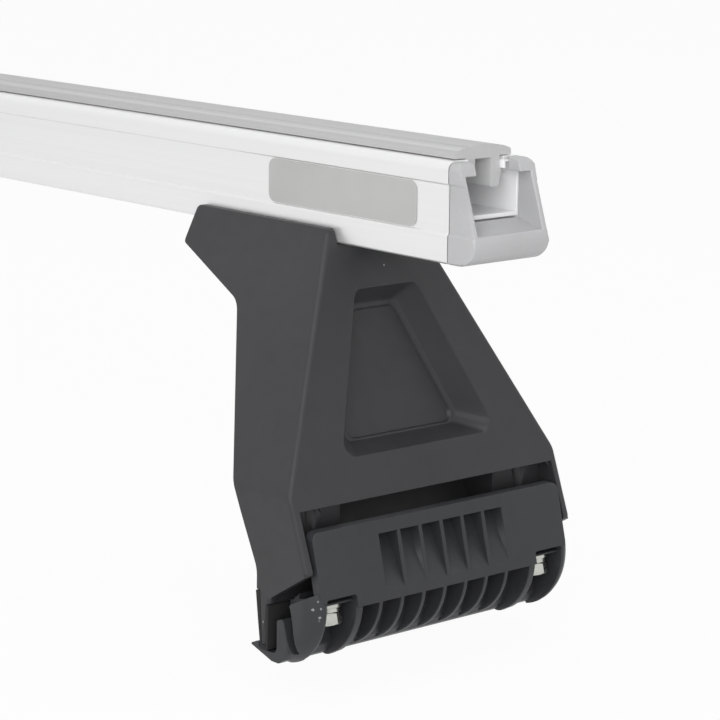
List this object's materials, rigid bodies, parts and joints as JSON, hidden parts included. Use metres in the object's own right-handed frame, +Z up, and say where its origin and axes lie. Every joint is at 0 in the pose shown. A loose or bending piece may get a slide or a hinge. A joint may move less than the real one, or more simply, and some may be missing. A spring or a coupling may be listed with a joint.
{
  "type": "roof rack crossbar",
  "caption": "Hollow aluminium roof rack crossbar on two gutter legs, each with a ribbed clamp jaw drawn up by bolts.",
  "frame": {"origin": "centre of the ground under the clamp hooks, midway between the legs", "axes": "+X along the bar, +Y across it, +Z up"},
  "size_m": [1.284, 0.156, 0.2217],
  "materials": {
    "bar": "satin",
    "strip": "matte",
    "label": "matte",
    "cap": "matte",
    "leg": "satin",
    "clamp": "satin",
    "pad": "matte",
    "steel": "bright zinc",
    "insert": "plain"
  },
  "bodies": {
    "bar": {"bar": "bar", "top_strip": "strip", "side_label": "label", "end_cap_r": "cap", "end_cap_l": "cap"},
    "leg_r": {"leg_r": "leg", "saddle_pad_r": "pad", "foot_pad_r": "pad", "tbolt_r1": "steel", "tbolt_washer_r1": "steel", "tbolt_nut_r1": "steel", "tbolt_r2": "steel", "tbolt_washer_r2": "steel", "tbolt_nut_r2": "steel", "insert_r1": "insert", "insert_r2": "insert"},
    "clamp_r": {"clamp_r": "clamp", "flat_washer_r1": "steel", "flat_washer_r2": "steel", "spring_washer_r1": "steel", "spring_washer_r2": "steel"},
    "clamp_bolt_r1": {"clamp_bolt_r1": "steel"},
    "clamp_bolt_r2": {"clamp_bolt_r2": "steel"},
    "leg_l": {"leg_l": "leg", "saddle_pad_l": "pad", "foot_pad_l": "pad", "tbolt_l1": "steel", "tbolt_washer_l1": "steel", "tbolt_nut_l1": "steel", "tbolt_l2": "steel", "tbolt_washer_l2": "steel", "tbolt_nut_l2": "steel", "insert_l1": "insert", "insert_l2": "insert"},
    "clamp_l": {"clamp_l": "clamp", "flat_washer_l1": "steel", "flat_washer_l2": "steel", "spring_washer_l1": "steel", "spring_washer_l2": "steel"},
    "clamp_bolt_l1": {"clamp_bolt_l1": "steel"},
    "clamp_bolt_l2": {"clamp_bolt_l2": "steel"}
  },
  "joints": [
    {"name": "leg_r_slide", "type": "slide", "parent": "bar", "child": "leg_r", "axis": [1, 0, 0], "range_m": [-0.2, 0.04]},
    {"name": "clamp_r_slide", "type": "slide", "parent": "leg_r", "child": "clamp_r", "axis": [0.2425, 0, -0.9701], "range_m": [0, 0.011]},
    {"name": "clamp_bolt_r1_turn", "type": "hinge", "parent": "clamp_r", "child": "clamp_bolt_r1", "pos_m": [0.59325, -0.0612, 0.0425], "axis": [0.2425, 0, -0.9701], "range_deg": [0, 3962]},
    {"name": "clamp_bolt_r2_turn", "type": "hinge", "parent": "clamp_r", "child": "clamp_bolt_r2", "pos_m": [0.59325, 0.0612, 0.0425], "axis": [0.2425, 0, -0.9701], "range_deg": [0, 3962]},
    {"name": "leg_l_slide", "type": "slide", "parent": "bar", "child": "leg_l", "axis": [-1, 0, 0], "range_m": [-0.2, 0.04]},
    {"name": "clamp_l_slide", "type": "slide", "parent": "leg_l", "child": "clamp_l", "axis": [-0.2425, 0, -0.9701], "range_m": [0, 0.011]},
    {"name": "clamp_bolt_l1_turn", "type": "hinge", "parent": "clamp_l", "child": "clamp_bolt_l1", "pos_m": [-0.59325, -0.0612, 0.0425], "axis": [-0.2425, 0, -0.9701], "range_deg": [0, 3962]},
    {"name": "clamp_bolt_l2_turn", "type": "hinge", "parent": "clamp_l", "child": "clamp_bolt_l2", "pos_m": [-0.59325, 0.0612, 0.0425], "axis": [-0.2425, 0, -0.9701], "range_deg": [0, 3962]}
  ],
  "couplings": [
    {"joint": "clamp_bolt_r1_turn", "follows": "clamp_r_slide", "rad_per_m": 6283.2},
    {"joint": "clamp_bolt_r2_turn", "follows": "clamp_r_slide", "rad_per_m": 6283.2},
    {"joint": "clamp_bolt_l1_turn", "follows": "clamp_l_slide", "rad_per_m": 6283.2},
    {"joint": "clamp_bolt_l2_turn", "follows": "clamp_l_slide", "rad_per_m": 6283.2}
  ]
}
